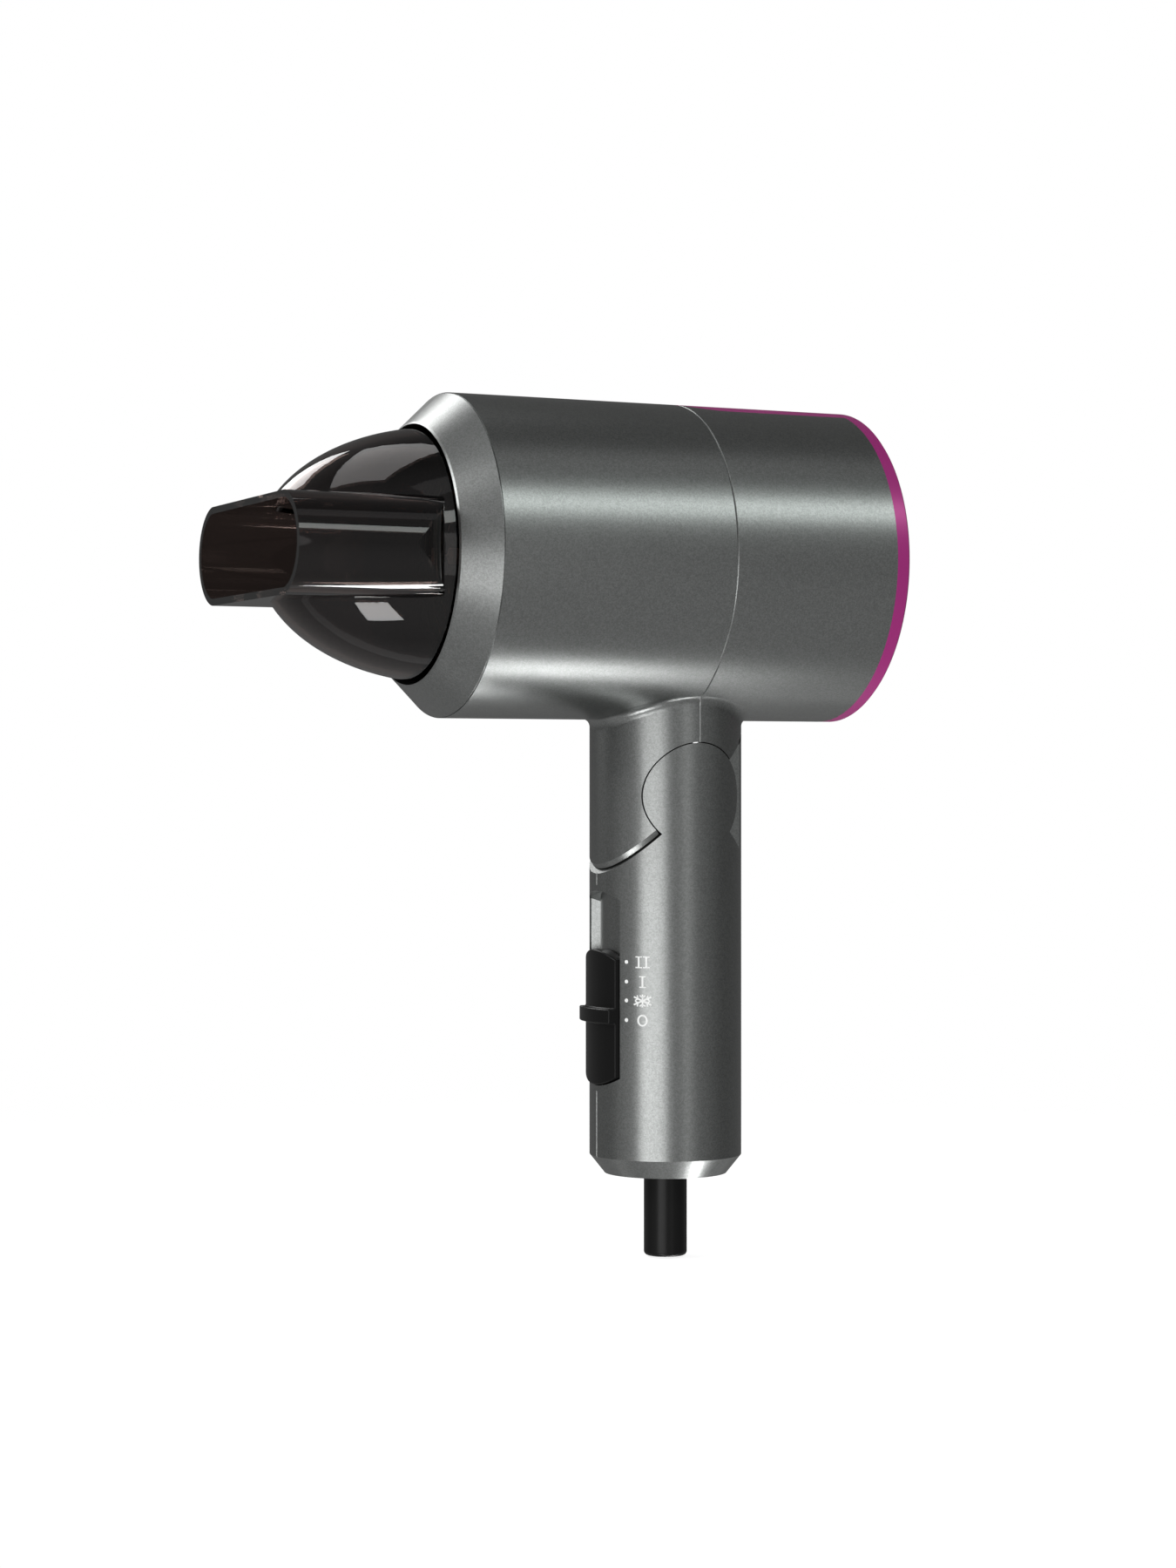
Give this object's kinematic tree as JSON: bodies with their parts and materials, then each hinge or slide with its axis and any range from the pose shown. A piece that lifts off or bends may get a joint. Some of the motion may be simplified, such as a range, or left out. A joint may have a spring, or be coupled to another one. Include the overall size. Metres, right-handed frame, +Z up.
{
  "type": "hair dryer",
  "caption": "Folding hair dryer with a straight cylindrical barrel, a round handle and a pull-off concentrator nozzle that turns.",
  "frame": {"origin": "the middle of the grip, on the handle's axis, 120 mm below the barrel's axis", "axes": "+Z up along the handle's axis to the barrel; the nozzle points to -X and the air enters at +X; +Y is the side away from the printed marks"},
  "size_m": [0.1704, 0.085, 0.2293],
  "materials": {
    "shell_grey": "gunmetal lacquer with fine metal flake over moulded plastic",
    "trim_magenta": "satin magenta lacquer",
    "smoke_clear": "polished smoked transparent plastic",
    "black_gloss": "semi-gloss black",
    "black_matte": "heat-resistant black, matt",
    "filter_mesh": "perforated",
    "steel_screws": "zinc plated",
    "duct_nylon": "glass-filled, matt",
    "fan_nylon": "matt",
    "motor_steel": "drawn steel",
    "bushing_bronze": "sintered",
    "magnet_ferrite": "ground ferrite",
    "copper_winding": "enamelled copper on a steel stack",
    "mica": "pressed mica sheet",
    "heating_wire": "resistance wire",
    "thermostat_metal": "stamped",
    "ion_white": "moulded and potted",
    "board_green": "solder mask",
    "board_parts": "moulded",
    "wire_sleeve": "silicone insulation",
    "rubber_black": "satin black"
  },
  "bodies": {
    "handle": {"handle_left": "shell_grey", "handle_right": "shell_grey", "handle_screws": "steel_screws", "hinge_pin": "steel_screws", "hinge_washers": "steel_screws", "switch_body": "black_matte", "circuit_board": "board_green", "board_parts": "board_parts", "cord_collar": "black_matte", "cord_clamp": "black_matte", "handle_wires": "wire_sleeve"},
    "head": {"front_shell": "shell_grey", "rear_shell": "shell_grey", "top_strip": "trim_magenta", "front_bezel": "shell_grey", "rear_ring": "trim_magenta", "intake_grille": "black_matte", "intake_filter": "filter_mesh", "head_screws": "steel_screws", "air_duct": "duct_nylon", "motor_cup": "duct_nylon", "motor_can": "motor_steel", "motor_end_cap": "duct_nylon", "motor_bearings": "bushing_bronze", "motor_magnets": "magnet_ferrite", "mica_tube": "mica", "heater_frame": "mica", "heater_coils": "heating_wire", "thermostat": "thermostat_metal", "thermal_fuse": "bushing_bronze", "outlet_grille": "black_matte", "ion_module": "ion_white", "ion_needle": "ion_white", "duct_grommet": "rubber_black", "head_wires": "wire_sleeve", "hinge_block": "black_matte"},
    "rotor": {"motor_shaft": "motor_steel", "motor_armature": "copper_winding", "fan_impeller": "fan_nylon"},
    "switch": {"switch_slider": "black_gloss"},
    "cord_outlet": {"cord_guard": "rubber_black"},
    "nozzle_seat": {"nozzle_ring": "black_matte"},
    "nozzle": {"nozzle": "smoke_clear"}
  },
  "joints": [
    {"name": "handle_fold", "type": "hinge", "parent": "handle", "child": "head", "pos_m": [0, 0, 0.0571], "axis": [0, 1, 0], "range_deg": [0, 84]},
    {"name": "fan_spin", "type": "hinge", "parent": "head", "child": "rotor", "pos_m": [0.02, 0, 0.12], "axis": [1, 0, 0], "continuous": true},
    {"name": "switch_slide", "type": "slide", "parent": "handle", "child": "switch", "axis": [0, 0, 1], "range_m": [0, 0.0154]},
    {"name": "cord_swivel", "type": "hinge", "parent": "handle", "child": "cord_outlet", "pos_m": [0, 0, -0.0444], "axis": [0, 0, 1], "continuous": true},
    {"name": "nozzle_pull", "type": "slide", "parent": "head", "child": "nozzle_seat", "axis": [-1, 0, 0], "range_m": [0, 0.018]},
    {"name": "nozzle_turn", "type": "hinge", "parent": "nozzle_seat", "child": "nozzle", "pos_m": [-0.063, 0, 0.12], "axis": [1, 0, 0], "continuous": true}
  ]
}
